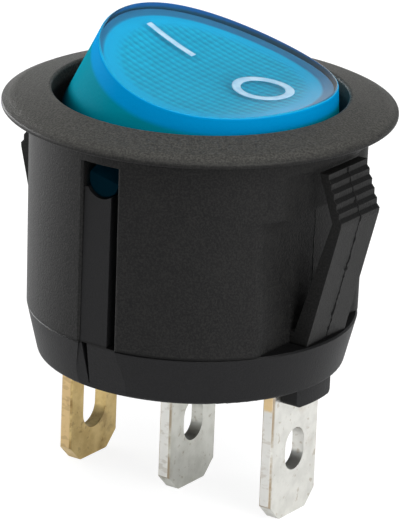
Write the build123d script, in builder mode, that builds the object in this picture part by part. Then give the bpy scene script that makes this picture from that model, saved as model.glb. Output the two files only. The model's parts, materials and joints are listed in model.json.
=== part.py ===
from build123d import *
from math import atan2, cos, degrees, radians, sin, tan
import os

os.makedirs("parts", exist_ok=True)

# Round illuminated rocker switch, millimetres. z = 0 is the underside of the bezel, which is the face that
# seats on the panel. Z is the switch axis, the row of terminals lies along X with the line terminal at +X,
# and the rocker turns about an axis along Y. The rest position has the +X side of the rocker pressed.

lap = 0.5  # reach of a cutter, or of a joined shape, past the face that it meets

# ---- Panel fit and bezel
panel_hole_d = 20.2  # cut-out in the panel
panel_gap = 0.2  # radial play of the collar in the cut-out
bezel_d = 23.0
bezel_slope = 13.8  # fall of the top face from the opening to the knee
bezel_rim_z = 0.11  # the short upright rim starts here
bezel_rim_h = 0.24
bezel_knee = 0.62  # width of the steeper band beside the rim
bezel_knee_rise = 0.3
bezel_knee_r = 1.6
bezel_seat_inset = 0.35
bezel_edge_r = 0.13
opening_d = 17.2
opening_edge_r = 0.16

# ---- Barrel of the housing
collar_h = 0.93  # plain ring under the bezel
collar_step = 0.05
barrel_h = 11.93  # bezel underside to the joint with the base
barrel_seam_d = 19.44
wall_depth_chord = 0.87  # flat wall behind each latch
wall_lap = 0.3  # depth of the flat wall's ends in the round wall
pocket_x = 8.17  # flat back of the recess behind each latch
pocket_top = 3.82
pocket_edge_r = 1.5
scoop_x = 8.95  # shallow flat above the recess
scoop_top = 1.16
scoop_edge_r = 2.0
shelf_t = 0.5  # inner shelf over the recess

# ---- Latches
latch_w = 4.0
latch_root_x = 9.34
latch_barb_x = 11.3
latch_barb_z = 4.02
latch_tip_x = 10.3
latch_tip_z = 1.3
latch_tip_t = 0.6
latch_barb_t = 0.62
latch_gap = 0.3  # between the arm and the flat wall, where the arm leaves its root
latch_root_h = 0.75
latch_teeth = 5
latch_tooth_face = 0.62  # upright share of each tooth
latch_foot_lap = 0.3  # depth of the root in the wall

# ---- Rocker
pivot_z = -2.0
throw = 26.16  # full turn from one pressed side to the other
boss_r = 1.0
boss_gap = 0.09  # to the saddle that carries the boss
boss_reach = 9.35
boss_ramp = 0.55
slot_w = 2.4  # slot in the barrel that the boss slides up
slot_over = 0.03  # between the boss and the top of its slot
slot_edge_r = 0.15
rocker_top_r = 7.02
rocker_top_z = 3.5
rocker_flare = 0.25  # growth of radius for each millimetre down
rocker_mid_z = 2.59  # lowest line of the dished face
dish_r = 22.8
rocker_edge_r = 0.15
rocker_skirt_z = -1.4
rocker_wall = 1.05
cheek_w = 4.4
cheek_drop = 1.3
cheek_gap = 0.25
cheek_lap = 0.5
stem_d = 4.6
bore_spare = 0.45  # left over the pushed-in plunger
rib_t = 0.9
rib_z = -1.3
lamp_seat_x = 5.2  # post in the rocker over the lamp spring
lamp_seat_z = -1.4
lamp_seat_d = 2.6

# ---- Base
base_h = 2.98
base_bottom_d = 18.0
base_edge_r = 0.3
seam_groove = 0.12  # bevel of the base's top edge, which leaves a fine groove under the barrel
facet_w = 2.5  # flat on the base under each tongue
floor_t = 1.6
spigot_gap = 0.08
spigot_h = 0.9
spigot_t = 0.9
tongue_w = 1.84
tongue_side_gap = 0.03
tongue_inset = 0.16
tongue_t = 0.92
tongue_crest = 0.55  # crest of the tongue below the pivot axis
cup_relief = 0.35
key_w = 0.38
key_h = 2.7
key_tip_w = 0.05
key_depth = 0.85
key_shift = 0.65
foot_w = 3.5
foot_h = 1.0
foot_corner_r = 0.3
foot_inset = 0.12
foot_gap = 0.05

# ---- Terminals, 4.8 x 0.8 push-on tabs
tab_pitch = 7.18
tab_w = 4.8
tab_t = 0.8
tab_tip_z = -23.25
tab_chamfer_w = 1.05
tab_chamfer_h = 1.05
tab_edge = 0.12
tab_corner_r = 0.3
tab_slot_gap = 0.04
bend_gap = 0.3  # room inside the bend of an outer terminal
hole_w = 1.95
hole_h = 2.6
hole_z = -19.2
lamp_hole_w = 2.3
lamp_hole_h = 4.6
lamp_hole_bottom_z = -21.5
seat_reach = 3.4  # how far a bent terminal runs in from its tab
seat_drop = 0.07  # top of the bent seat below the housing's joint face
saddle_ear_w = 0.85
saddle_ear_h = 1.0

# ---- Contact blade and contacts
blade_t = 0.5
blade_w = 4.4
blade_waist_gap = 0.1
blade_waist_room = 0.35  # before and behind the ears, for the swing
blade_long = 6.1
blade_short = 3.3
blade_rise = 9.0  # angle of each arm above the cross line
blade_swing = 7.0  # turn of the blade each way
fulcrum_h = 0.68  # underside of the level blade above the joint face
fulcrum_gap = 0.03
contact_x = 5.0
contact_d = 2.4
contact_h = 0.5
contact_gap = 0.05  # left between the closed contacts
contact_shank_d = 1.1

# ---- Plunger and springs
plunger_d = 3.0
plunger_fit = 0.04
plunger_show = 1.95  # length of the plunger below the stem
plunger_len = 5.2
plunger_tip_r = 0.5
plunger_neck_d = 1.6
plunger_neck_h = 1.6
plunger_gap = 0.05
plunger_travel = 0.6
spring_wire = 0.3
spring_end_gap = 0.04
lamp_spring_x = -5.0
lamp_spring_d = 1.9
lamp_post_z = -7.5  # shoulders that the lamp spring stands on
lamp_post_w = 2.4
lamp_tip_w = 0.9
lamp_tip_h = 1.0
lamp_neck_h = 0.5
lamp_spring_turns = 7
plunger_spring_turns = 5

# ---- Lamp
bulb_d = 3.2
bulb_len = 7.2
bulb_glass_t = 0.35
bulb_x = 4.1
bulb_z = -0.6
bead_len = 1.0
lead_d = 0.4
electrode_d = 0.5
electrode_len = 3.6
electrode_gap = 0.9
lead_out = 0.7
wire_gap = 0.02
resistor_d = 1.5
resistor_len = 3.4
resistor_x = 1.1
resistor_y = 4.2
resistor_z = -1.75
sleeve_d = 0.8
sleeve_x = 0.8
sleeve_len = 2.3

# ---- Heights and radii that follow from those above
bezel_r = bezel_d / 2
opening_r = opening_d / 2
bore_r = opening_r
knee_x = bezel_r - bezel_knee
knee_z = bezel_rim_z + bezel_rim_h + bezel_knee_rise
bezel_h = knee_z + (knee_x - opening_r) * tan(radians(bezel_slope))
collar_r = panel_hole_d / 2 - panel_gap
barrel_top_r = collar_r - collar_step
seam_r = barrel_seam_d / 2
seam_z = -barrel_h
base_bottom_z = seam_z - base_h
base_bottom_r = base_bottom_d / 2
base_draft = degrees(atan2(seam_r - base_bottom_r, base_h))
floor_z = base_bottom_z + floor_t
key_taper = degrees(atan2((key_w - key_tip_w) / 2, key_h))
foot_x = tab_pitch + tab_t / 2 + foot_gap
flat_x = pocket_x - wall_depth_chord
shelf_z = -(pocket_top - shelf_t)
slot_top_z = pivot_z + boss_r + slot_over
tilt = throw / 2
seat_top_z = seam_z - seat_drop
fulcrum_z = seam_z + fulcrum_h
plunger_tip_z = fulcrum_z + blade_t + plunger_gap
stem_bore = plunger_len - plunger_show + plunger_travel + bore_spare
closed_rise = radians(blade_rise - blade_swing)
closed_arm_x = contact_x - contact_d / 2
closed_contact_z = fulcrum_z + closed_arm_x * sin(closed_rise) - contact_h * cos(closed_rise)
fixed_contact_h = closed_contact_z - contact_gap - seat_top_z
hinge = Axis((0, 0, pivot_z), (0, 1, 0))
fulcrum = Axis((0, 0, fulcrum_z), (0, 1, 0))


def rocker_r(z):
    """Outer radius of the rocker's flared side at height z, with the rocker level."""
    return rocker_top_r + rocker_flare * (rocker_top_z - z)


# ==== Housing: bezel, collar, barrel, two latches
latch_inner_x = pocket_x + latch_gap
tooth_h = (latch_barb_z - latch_tip_z) / latch_teeth
tooth_step = (latch_barb_x - latch_tip_x) / latch_teeth
latch_edge = []
for tooth in range(latch_teeth):
    edge_x = latch_tip_x + tooth_step * tooth
    edge_z = -latch_tip_z - tooth_h * tooth
    latch_edge += [(edge_x, edge_z), (edge_x, edge_z - latch_tooth_face * tooth_h)]
latch_profile = [
    (pocket_x - latch_foot_lap, seam_z),
    (latch_root_x, seam_z),
    (latch_barb_x - 0.03, -latch_barb_z - 0.25),
    (latch_barb_x, -latch_barb_z),
    *reversed(latch_edge),
    (latch_tip_x - latch_tip_t, -latch_tip_z),
    (latch_barb_x - latch_barb_t, -latch_barb_z - 0.1),
    (latch_inner_x, seam_z + latch_root_h),
    (pocket_x - latch_foot_lap, seam_z + latch_root_h),
]

with BuildPart() as housing:
    with BuildSketch(Plane.XZ):
        with BuildLine():
            Polyline(
                (opening_r, seam_z),
                (opening_r, bezel_h),
                (knee_x, knee_z),
                (bezel_r, bezel_rim_z + bezel_rim_h),
                (bezel_r, bezel_rim_z),
                (bezel_r - bezel_seat_inset, 0),
                (collar_r, 0),
                (collar_r, -collar_h),
                (barrel_top_r, -collar_h),
                (seam_r, seam_z),
                close=True,
            )
        make_face()
        fillet(vertices().group_by(Axis.X)[-1], bezel_edge_r)
        fillet(vertices().sort_by_distance((knee_x, knee_z, 0))[0], bezel_knee_r)
        lip = vertices().group_by(Axis.X)[0].sort_by(Axis.Y)[-1]
        fillet(lip, opening_edge_r)
    revolve(axis=Axis.Z)
    # Flat inner walls behind the latches, up to the shelf under the rocker
    with BuildSketch(Plane.XY.offset(seam_z)):
        Circle(seam_r - wall_lap)
        Rectangle(2 * flat_x, 3 * bezel_r, mode=Mode.SUBTRACT)
    extrude(amount=shelf_z - seam_z)
    # Recess behind each latch and the shallow flat above it
    with BuildSketch(Plane.XY.offset(seam_z)):
        with Locations((pocket_x + bezel_r / 2, 0), (-pocket_x - bezel_r / 2, 0)):
            Rectangle(bezel_r, 3 * bezel_r)
    extrude(amount=barrel_h - pocket_top, mode=Mode.SUBTRACT)
    with BuildSketch(Plane.XY.offset(-pocket_top)):
        with Locations((scoop_x + bezel_r / 2, 0), (-scoop_x - bezel_r / 2, 0)):
            Rectangle(bezel_r, 3 * bezel_r)
    extrude(amount=pocket_top - scoop_top, mode=Mode.SUBTRACT)
    scoop_edges = edges().filter_by_position(Axis.Z, -pocket_top, -scoop_top).filter_by(
        lambda e: abs(abs(e.center().X) - scoop_x) < 0.01 and abs(e.center().Y) > latch_w / 2
    )
    fillet(scoop_edges, scoop_edge_r)
    pocket_edges = edges().filter_by_position(Axis.Z, seam_z + lap, -pocket_top - lap).filter_by(
        lambda e: abs(abs(e.center().X) - pocket_x) < 0.01
    )
    fillet(pocket_edges, pocket_edge_r)
    # Latch arms, each one leaf rooted at the bottom of its recess
    with BuildSketch(Plane.XZ):
        Polygon(*latch_profile, align=None)
        mirror(about=Plane.YZ)
    extrude(amount=latch_w / 2, both=True)
    # Slots that the rocker's bosses slide up, open at the joint face
    with BuildSketch(Plane.XY.offset(seam_z)):
        Rectangle(slot_w, 3 * bezel_r)
    extrude(amount=slot_top_z - seam_z, mode=Mode.SUBTRACT)
    slot_edges = edges().filter_by_position(Axis.Z, seam_z + lap, slot_top_z - lap).filter_by(
        lambda e: abs(abs(e.center().X) - slot_w / 2) < 0.01 and abs(e.center().Y) > bore_r + lap
    )
    fillet(slot_edges, slot_edge_r)

housing.part.label = "housing"

# ==== Base: tapered cup with spigot, two tongues that close the boss slots, terminal slots, foot
tongue_face_y = seam_r - tongue_inset
tongue_top_z = pivot_z - tongue_crest
tongue_mid_x = -(slot_w - tongue_w) / 2 + tongue_side_gap
with BuildPart() as base:
    with BuildSketch(Plane.XZ):
        with BuildLine():
            Polyline(
                (0, base_bottom_z),
                (base_bottom_r, base_bottom_z),
                (seam_r, seam_z),
                (0, seam_z),
                close=True,
            )
        make_face()
        fillet(vertices().sort_by(Axis.X)[-2], base_edge_r)
        chamfer(vertices().sort_by(Axis.X)[-1], seam_groove)
    revolve(axis=Axis.Z)
    # Foot that shields the line terminal: a lip under the edge, round like the edge itself
    with BuildSketch(Plane.XY.offset(base_bottom_z - foot_h)):
        Circle(base_bottom_r - foot_inset)
        with Locations((foot_x, 0)):
            Rectangle(base_bottom_r, foot_w, align=(Align.MIN, Align.CENTER), mode=Mode.INTERSECT)
    extrude(amount=foot_h + base_edge_r)
    foot_corners = edges().filter_by(Axis.X).group_by(Axis.Z)[0]
    fillet(foot_corners, foot_corner_r)
    # Spigot that enters the barrel
    with BuildSketch(Plane.XY.offset(seam_z)):
        Circle(bore_r - spigot_gap)
        Rectangle(2 * (flat_x - spigot_gap), 3 * bezel_r, mode=Mode.INTERSECT)
    extrude(amount=spigot_h)
    # Inside of the cup
    with BuildSketch(Plane.XY.offset(floor_z)):
        Circle(bore_r - spigot_gap - spigot_t)
        Rectangle(2 * (flat_x + cup_relief), 3 * bezel_r, mode=Mode.INTERSECT)
    extrude(amount=seam_z - floor_z, mode=Mode.SUBTRACT)
    with BuildSketch(Plane.XY.offset(seam_z)):
        Circle(bore_r - spigot_gap - spigot_t)
        Rectangle(2 * (flat_x - spigot_gap - cup_relief), 3 * bezel_r, mode=Mode.INTERSECT)
    extrude(amount=spigot_h, mode=Mode.SUBTRACT)
    # Flat under each tongue, and the narrow keyway beside it
    with BuildSketch(Plane.XY.offset(seam_z)):
        for side in (-1, 1):
            with Locations((0, side * (tongue_face_y + tongue_t / 2))):
                Rectangle(facet_w, tongue_t)
    extrude(amount=-base_h, taper=-base_draft, mode=Mode.SUBTRACT)
    with BuildSketch(Plane.XY.offset(seam_z)):
        for side in (-1, 1):
            with Locations((-side * (tongue_mid_x - key_shift), side * tongue_face_y)):
                Rectangle(key_w, 2 * key_depth)
    extrude(amount=-key_h, taper=key_taper, mode=Mode.SUBTRACT)
    # Tongues up to the pivot, each with a saddle that carries the boss
    with BuildSketch(Plane.XY.offset(seam_z)):
        for side in (-1, 1):
            with Locations((-side * tongue_mid_x, side * (tongue_face_y - tongue_t / 2))):
                Rectangle(tongue_w, tongue_t)
    extrude(amount=tongue_top_z - seam_z)
    with BuildSketch(Plane.XZ):
        with Locations((0, pivot_z)):
            Circle(boss_r + boss_gap)
    extrude(amount=bezel_r, both=True, mode=Mode.SUBTRACT)
    # Support under the bent seats of the outer terminals
    with BuildSketch(Plane.XY.offset(floor_z)):
        with Locations((tab_pitch - seat_reach / 2, 0), (seat_reach / 2 - tab_pitch, 0)):
            Rectangle(seat_reach, tab_w + 2 * lap)
    extrude(amount=seat_top_z - tab_t - floor_z)
    # Slots for the three tabs
    with BuildSketch(Plane.XY.offset(base_bottom_z)):
        with Locations((-tab_pitch, 0), (0, 0), (tab_pitch, 0)):
            Rectangle(tab_t + 2 * tab_slot_gap, tab_w + 2 * tab_slot_gap)
    extrude(amount=seam_z - base_bottom_z - 0.01, mode=Mode.SUBTRACT)
    # Clearance where each outer terminal bends over to its seat
    with BuildSketch(Plane.XY.offset(seat_top_z - tab_t)):
        with Locations((-tab_pitch + bend_gap, 0), (tab_pitch - bend_gap, 0)):
            Rectangle(tab_t + 2 * (bend_gap + tab_slot_gap), tab_w + 2 * tab_slot_gap)
    extrude(amount=seam_z - seat_top_z + tab_t - 0.01, mode=Mode.SUBTRACT)

base.part.label = "base"


# ==== Terminals
def tab_outline():
    """Outline of a push-on tab in the plane of its broad face, from the base's floor down to the tip."""
    half = tab_w / 2
    Polyline(
        (-half, floor_z),
        (-half, tab_tip_z + tab_chamfer_h),
        (-half + tab_chamfer_w, tab_tip_z),
        (half - tab_chamfer_w, tab_tip_z),
        (half, tab_tip_z + tab_chamfer_h),
        (half, floor_z),
        close=True,
    )


with BuildPart() as terminal_line:
    with BuildSketch(Plane.YZ.offset(tab_pitch)):
        with BuildLine():
            tab_outline()
        make_face()
        fillet(vertices().group_by(Axis.Y)[0], tab_corner_r)
        with Locations((0, hole_z)):
            SlotOverall(hole_h, hole_w, rotation=90, mode=Mode.SUBTRACT)
    extrude(amount=tab_t / 2, both=True)
    chamfer(edges().filter_by(Axis.Z).group_by(SortBy.LENGTH)[-1], tab_edge)
    # Upper end, bent in over its pad to carry the fixed contact
    with BuildSketch(Plane.XZ):
        with BuildLine():
            Polyline(
                (tab_pitch - tab_t / 2, floor_z - lap),
                (tab_pitch + tab_t / 2, floor_z - lap),
                (tab_pitch + tab_t / 2, seat_top_z),
                (tab_pitch - seat_reach, seat_top_z),
                (tab_pitch - seat_reach, seat_top_z - tab_t),
                (tab_pitch - tab_t / 2, seat_top_z - tab_t),
                close=True,
            )
        make_face()
        fillet(vertices().group_by(Axis.X)[-1].sort_by(Axis.Y)[-1], tab_t * 0.8)
    extrude(amount=tab_w / 2, both=True)
    with BuildSketch(Plane.XY.offset(seat_top_z)):
        with Locations((contact_x, 0)):
            Circle(contact_shank_d / 2)
    extrude(amount=-tab_t, mode=Mode.SUBTRACT)

terminal_line.part.label = "terminal_line"

with BuildPart() as terminal_lamp:
    with BuildSketch(Plane.YZ.offset(-tab_pitch)):
        with BuildLine():
            tab_outline()
        make_face()
        fillet(vertices().group_by(Axis.Y)[0], tab_corner_r)
        with Locations((0, lamp_hole_bottom_z + lamp_hole_h / 2)):
            SlotOverall(lamp_hole_h, lamp_hole_w, rotation=90, mode=Mode.SUBTRACT)
    extrude(amount=tab_t / 2, both=True)
    chamfer(edges().filter_by(Axis.Z).group_by(SortBy.LENGTH)[-1], tab_edge)
    # Upper end, bent in and up again as the post of the lamp spring
    with BuildSketch(Plane.XZ):
        with BuildLine():
            Polyline(
                (-tab_pitch + tab_t / 2, floor_z - lap),
                (-tab_pitch - tab_t / 2, floor_z - lap),
                (-tab_pitch - tab_t / 2, seat_top_z),
                (lamp_spring_x - tab_t / 2, seat_top_z),
                (lamp_spring_x - tab_t / 2, lamp_post_z + lamp_tip_h),
                (lamp_spring_x + tab_t / 2, lamp_post_z + lamp_tip_h),
                (lamp_spring_x + tab_t / 2, seat_top_z - tab_t),
                (-tab_pitch + tab_t / 2, seat_top_z - tab_t),
                close=True,
            )
        make_face()
        fillet(vertices().group_by(Axis.X)[0].sort_by(Axis.Y)[-1], tab_t * 0.8)
    extrude(amount=tab_w / 2, both=True)
    # The post narrows above its bend, and again to a tip that enters the spring
    with BuildSketch(Plane.YZ.offset(lamp_spring_x)):
        with Locations((0, seat_top_z + lamp_neck_h)):
            Rectangle(2 * tab_w, 3 * lamp_tip_h + lamp_post_z - seat_top_z, align=(Align.CENTER, Align.MIN))
            Rectangle(
                lamp_post_w,
                lamp_post_z - seat_top_z - lamp_neck_h,
                align=(Align.CENTER, Align.MIN),
                mode=Mode.SUBTRACT,
            )
        with Locations((0, lamp_post_z)):
            Rectangle(lamp_tip_w, 2 * lamp_tip_h, align=(Align.CENTER, Align.MIN), mode=Mode.SUBTRACT)
    extrude(amount=tab_t, both=True, mode=Mode.SUBTRACT)

terminal_lamp.part.label = "terminal_lamp"

with BuildPart() as terminal_common:
    with BuildSketch(Plane.YZ):
        with BuildLine():
            tab_outline()
        make_face()
        fillet(vertices().group_by(Axis.Y)[0], tab_corner_r)
        with Locations((0, hole_z)):
            SlotOverall(hole_h, hole_w, rotation=90, mode=Mode.SUBTRACT)
    extrude(amount=tab_t / 2, both=True)
    chamfer(edges().filter_by(Axis.Z).group_by(SortBy.LENGTH)[-1], tab_edge)
    # Upper end: a plain edge for the blade to rock on, between two ears
    with BuildSketch(Plane.YZ):
        with Locations((0, (floor_z - lap + fulcrum_z - fulcrum_gap) / 2)):
            Rectangle(tab_w, fulcrum_z - fulcrum_gap - floor_z + lap)
        for side in (-1, 1):
            with Locations((side * (tab_w - saddle_ear_w) / 2, fulcrum_z - fulcrum_gap + saddle_ear_h / 2)):
                Rectangle(saddle_ear_w, saddle_ear_h)
    extrude(amount=tab_t / 2, both=True)
    crest = edges().filter_by(Axis.Y).filter_by_position(Axis.Z, fulcrum_z - fulcrum_gap - 0.01, fulcrum_z)
    chamfer(crest, tab_t * 0.3)

terminal_common.part.label = "terminal_common"

with BuildPart() as fixed_contact:
    with Locations(Plane((contact_x, 0, seat_top_z))):
        Cylinder(contact_d / 2, fixed_contact_h, align=(Align.CENTER, Align.CENTER, Align.MIN))
        chamfer(edges().group_by(Axis.Z)[-1], 0.12)
        Cylinder(
            contact_shank_d / 2 - 0.02, tab_t - 0.05, align=(Align.CENTER, Align.CENTER, Align.MAX)
        )

fixed_contact.part.label = "fixed_contact"

# ==== Contact blade, drawn level about its fulcrum: two arms that rise from the cross line
with BuildPart() as contact_blade:
    with BuildSketch(Plane.XZ):
        with BuildLine():
            rise = tan(radians(blade_rise))
            Polyline(
                (0, fulcrum_z),
                (blade_long, fulcrum_z + blade_long * rise),
                (blade_long, fulcrum_z + blade_long * rise + blade_t),
                (0, fulcrum_z + blade_t),
                (-blade_short, fulcrum_z + blade_short * rise + blade_t),
                (-blade_short, fulcrum_z + blade_short * rise),
                close=True,
            )
        make_face()
    extrude(amount=blade_w / 2, both=True)
    # Waist between the ears of the common terminal
    waist_w = tab_w - 2 * saddle_ear_w - 2 * blade_waist_gap
    with BuildSketch(Plane.XY.offset(fulcrum_z)):
        for side in (-1, 1):
            with Locations((0, side * (waist_w + blade_w) / 2)):
                Rectangle(tab_t + 2 * blade_waist_room, blade_w)
    extrude(amount=blade_w, both=True, mode=Mode.SUBTRACT)
    contact_plane = Plane(
        (contact_x, 0, fulcrum_z + contact_x * rise),
        x_dir=(cos(radians(blade_rise)), 0, sin(radians(blade_rise))),
        z_dir=(-sin(radians(blade_rise)), 0, cos(radians(blade_rise))),
    )
    with BuildSketch(contact_plane):
        Circle(contact_shank_d / 2)
    extrude(amount=blade_t * 1.2, mode=Mode.SUBTRACT)

with BuildPart() as moving_contact:
    with Locations(contact_plane):
        Cylinder(contact_d / 2, contact_h, align=(Align.CENTER, Align.CENTER, Align.MAX))
        chamfer(edges().group_by(Axis.Z)[0], 0.1)
        Cylinder(
            contact_shank_d / 2 - 0.02, blade_t - 0.02, align=(Align.CENTER, Align.CENTER, Align.MIN)
        )

contact_blade.part = contact_blade.part.rotate(fulcrum, -blade_swing)
moving_contact.part = moving_contact.part.rotate(fulcrum, -blade_swing)
contact_blade.part.label = "contact_blade"
moving_contact.part.label = "moving_contact"

# ==== Rocker, drawn level: flared cap with a dished face, skirt, bosses, stem and ribs
skirt_r = bore_r - cheek_gap
with BuildPart() as cap_hollow:
    with BuildSketch(Plane.XZ):
        top_z = rocker_top_z + 2 * lap
        with BuildLine():
            Polyline(
                (0, rocker_skirt_z - lap),
                (rocker_r(rocker_skirt_z - lap) - rocker_wall, rocker_skirt_z - lap),
                (rocker_r(top_z) - rocker_wall, top_z),
                (0, top_z),
                close=True,
            )
        make_face()
    revolve(axis=Axis.Z)
    with BuildSketch(Plane.XZ):
        with Locations((0, rocker_mid_z + dish_r)):
            Circle(dish_r + rocker_wall)
    extrude(amount=bezel_r, both=True, mode=Mode.SUBTRACT)

with BuildPart() as rocker:
    with BuildSketch(Plane.XZ):
        with BuildLine():
            Polyline(
                (0, rocker_skirt_z),
                (rocker_r(rocker_skirt_z), rocker_skirt_z),
                (rocker_r(top_z), top_z),
                (0, top_z),
                close=True,
            )
        make_face()
    revolve(axis=Axis.Z)
    with BuildSketch(Plane.XZ):
        with Locations((0, rocker_mid_z + dish_r)):
            Circle(dish_r)
    extrude(amount=bezel_r, both=True, mode=Mode.SUBTRACT)
    fillet(edges().filter_by_position(Axis.Z, rocker_mid_z - 0.01, top_z), rocker_edge_r)
    add(cap_hollow.part, mode=Mode.SUBTRACT)
    # Cheeks below the skirt, which carry the bosses
    with BuildSketch(Plane.XY.offset(pivot_z - cheek_drop)):
        Circle(skirt_r)
        Rectangle(cheek_w, 3 * bezel_r, mode=Mode.INTERSECT)
        Rectangle(cheek_w + 2 * lap, 2 * (skirt_r - rocker_wall), mode=Mode.SUBTRACT)
    extrude(amount=rocker_skirt_z + cheek_lap - pivot_z + cheek_drop)
    # Bosses, with a ramp on the upper half of each end
    with BuildSketch(Plane.XZ):
        with Locations((0, pivot_z)):
            Circle(boss_r)
    extrude(amount=boss_reach, both=True)
    with BuildSketch(Plane.XZ):
        with Locations((0, pivot_z)):
            Circle(boss_r + lap)
    extrude(amount=skirt_r - rocker_wall, both=True, mode=Mode.SUBTRACT)
    with BuildSketch(Plane.YZ):
        for side in (-1, 1):
            with BuildLine():
                Polyline(
                    (side * (boss_reach - boss_ramp), pivot_z + boss_r),
                    (side * (boss_reach + 0.01), pivot_z + boss_r - 1.6 * boss_ramp),
                    (side * (boss_reach + 0.01), pivot_z + boss_r),
                    close=True,
                )
            make_face()
    extrude(amount=boss_r, both=True, mode=Mode.SUBTRACT)
    # Stem for the plunger, post for the lamp spring, and the cross rib
    stem_foot_z = plunger_tip_z + plunger_show
    slab_z = rocker_mid_z - rocker_wall / 2
    with BuildSketch(Plane.XY.offset(stem_foot_z)):
        Circle(stem_d / 2)
    extrude(amount=slab_z - stem_foot_z)
    with BuildSketch(Plane.XY.offset(lamp_seat_z)):
        with Locations((-lamp_seat_x, 0)):
            Circle(lamp_seat_d / 2)
    extrude(amount=slab_z - lamp_seat_z)
    with BuildSketch(Plane.XY.offset(rib_z)):
        Rectangle(rib_t, 2 * (rocker_r(0) - rocker_wall / 2))
    extrude(amount=slab_z - rib_z)
    with BuildSketch(Plane.XY.offset(stem_foot_z)):
        Circle(plunger_d / 2 + plunger_fit)
    extrude(amount=stem_bore, mode=Mode.SUBTRACT)

# ==== Plunger and its spring, level with the rocker
plunger_shoulder_z = plunger_tip_z + plunger_len - plunger_neck_h
with BuildPart() as plunger:
    with BuildSketch(Plane.XZ):
        with BuildLine():
            Polyline(
                (0, plunger_tip_z),
                (plunger_d * 0.22, plunger_tip_z),
                (plunger_d / 2, plunger_tip_z + plunger_d * 0.4),
                (plunger_d / 2, plunger_shoulder_z),
                (plunger_neck_d / 2, plunger_shoulder_z),
                (plunger_neck_d / 2, plunger_shoulder_z + plunger_neck_h),
                (0, plunger_shoulder_z + plunger_neck_h),
                close=True,
            )
        make_face()
        tip = vertices().filter_by_position(Axis.Y, plunger_tip_z, plunger_tip_z + plunger_d * 0.41)
        fillet(tip.sort_by(Axis.X)[1:], plunger_tip_r)
    revolve(axis=Axis.Z)

plunger_coil_r = plunger_d / 2 - spring_wire / 2 - spring_end_gap
bore_top_z = stem_foot_z + stem_bore
with BuildPart() as plunger_spring:
    with BuildLine() as plunger_coil:
        coil_h = bore_top_z - plunger_shoulder_z - spring_wire - 2 * spring_end_gap
        Helix(
            pitch=coil_h / plunger_spring_turns,
            height=coil_h,
            radius=plunger_coil_r,
            center=(0, 0, plunger_shoulder_z + spring_wire / 2 + spring_end_gap),
        )
    with BuildSketch(Plane(plunger_coil.line @ 0, z_dir=plunger_coil.line % 0)):
        RegularPolygon(spring_wire / 2, 8)
    sweep(is_frenet=True)

# ==== Lamp spring, upright on the lamp terminal at rest
seat_run = lamp_seat_x * sin(radians(tilt)) + (lamp_seat_z - pivot_z) * cos(radians(tilt))
lamp_seat_low_z = pivot_z + seat_run - lamp_seat_d / 2 * sin(radians(tilt))
with BuildPart() as lamp_spring:
    with BuildLine() as lamp_coil:
        coil_h = lamp_seat_low_z - lamp_post_z - spring_wire - 2 * spring_end_gap
        Helix(
            pitch=coil_h / lamp_spring_turns,
            height=coil_h,
            radius=lamp_spring_d / 2 - spring_wire / 2,
            center=(lamp_spring_x, 0, lamp_post_z + spring_wire / 2 + spring_end_gap),
        )
    with BuildSketch(Plane(lamp_coil.line @ 0, z_dir=lamp_coil.line % 0)):
        RegularPolygon(spring_wire / 2, 8)
    sweep(is_frenet=True)
lamp_spring.part.label = "lamp_spring"

# ==== Neon lamp under the +X half of the cap, with its resistor
bulb_axis = Axis((bulb_x, 0, bulb_z), (0, 1, 0))
bulb_open_y = -bulb_len / 2
bulb_plane = Plane.XY.offset(bulb_z)
with BuildPart() as lamp_bulb:
    with BuildSketch(bulb_plane):
        with BuildLine():
            outer = bulb_d / 2
            inner = outer - bulb_glass_t
            Polyline(
                (bulb_x + inner, bulb_open_y),
                (bulb_x + outer, bulb_open_y),
                (bulb_x + outer, bulb_len / 2 - outer * 0.9),
                (bulb_x + outer * 0.3, bulb_len / 2 - 0.15),
                (bulb_x, bulb_len / 2),
                (bulb_x, bulb_len / 2 - 2 * bulb_glass_t),
                (bulb_x + inner * 0.3, bulb_len / 2 - 0.15 - 1.4 * bulb_glass_t),
                (bulb_x + inner, bulb_len / 2 - outer * 0.9),
                close=True,
            )
        make_face()
    revolve(axis=bulb_axis)

lead_x = (bulb_x - electrode_gap / 2, bulb_x + electrode_gap / 2)
with BuildPart() as lamp_bead:
    with BuildSketch(Plane.XZ.offset(-bulb_open_y)):
        with Locations((bulb_x, bulb_z)):
            Circle(bulb_d / 2 - bulb_glass_t)
        with Locations((lead_x[0], bulb_z), (lead_x[1], bulb_z)):
            Circle(lead_d / 2 + wire_gap, mode=Mode.SUBTRACT)
    extrude(amount=-bead_len)

electrodes = []
for x in lead_x:
    with BuildPart() as electrode:
        with BuildSketch(Plane.XZ.offset(-bulb_open_y - bead_len - wire_gap)):
            with Locations((x, bulb_z)):
                Circle(electrode_d / 2)
        extrude(amount=-electrode_len)
    electrodes.append(electrode)
lamp_electrode_inner, lamp_electrode_outer = electrodes


def wire(points, radii):
    """A round wire along straight runs joined by tangent arcs."""
    with BuildPart() as made:
        with BuildLine() as route:
            FilletPolyline(*points, radius=radii)
        with BuildSketch(Plane(route.line @ 0, z_dir=route.line % 0)):
            Circle(lead_d / 2)
        sweep()
    return made


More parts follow.
